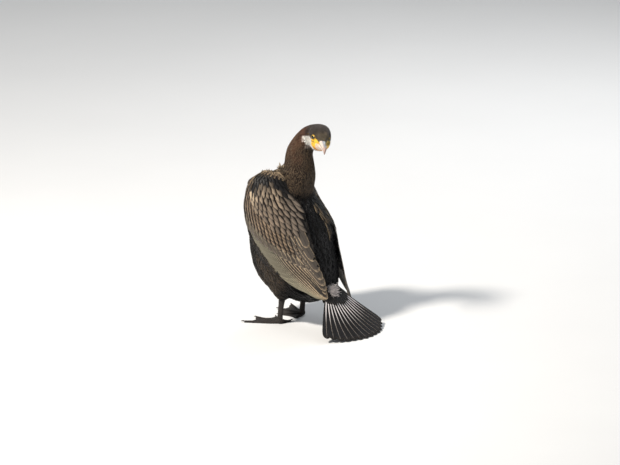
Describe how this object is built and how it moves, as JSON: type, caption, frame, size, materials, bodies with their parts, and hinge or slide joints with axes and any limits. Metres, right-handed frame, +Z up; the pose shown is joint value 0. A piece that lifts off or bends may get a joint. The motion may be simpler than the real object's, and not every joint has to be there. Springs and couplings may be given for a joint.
{
  "type": "great cormorant",
  "caption": "Large dark waterbird standing upright with half-folded wings, fanned tail laid on the floor and the head turned back over its left shoulder.",
  "frame": {"origin": "on the floor under the middle of the bird's box, soles and tail tips at z = 0", "axes": "+Z up, -Y the way the breast faces, +X the bird's left side"},
  "size_m": [0.2132, 0.3426, 0.4858],
  "materials": {
    "plumage_dark": "glossy black contour and tail feathers with a faint green sheen",
    "plumage_brown": "short dense dark brown feathers with paler streaks, white on the cheek",
    "plumage_bronze": "bronze-brown wing feathers, each with a dark edge",
    "bare_skin_yellow": "bare yellow skin with fine folds",
    "bill_horn": "smooth pale horn with a dark ridge",
    "eye_green": "wet dark green eye with a black pupil",
    "leg_black": "black scaled skin of legs and webbed feet, and black claws"
  },
  "bodies": {
    "root": {"bill_lower": "bill_horn", "bill_upper": "bill_horn", "claw_left_1": "leg_black", "claw_left_2": "leg_black", "claw_left_3": "leg_black", "claw_left_4": "leg_black", "claw_right_1": "leg_black", "claw_right_2": "leg_black", "claw_right_3": "leg_black", "claw_right_4": "leg_black", "eye_left": "eye_green", "eye_right": "eye_green", "foot_left": "leg_black", "foot_right": "leg_black", "gular_skin": "bare_skin_yellow", "head": "plumage_brown", "neck_lower": "plumage_brown", "neck_upper": "plumage_brown", "tail": "plumage_dark", "tarsus_left": "leg_black", "tarsus_right": "leg_black", "thigh_left": "plumage_dark", "thigh_right": "plumage_dark", "trunk": "plumage_dark", "wing_left": "plumage_bronze", "wing_right": "plumage_bronze", "wing_tip_left": "plumage_bronze", "wing_tip_right": "plumage_bronze"}
  },
  "joints": []
}
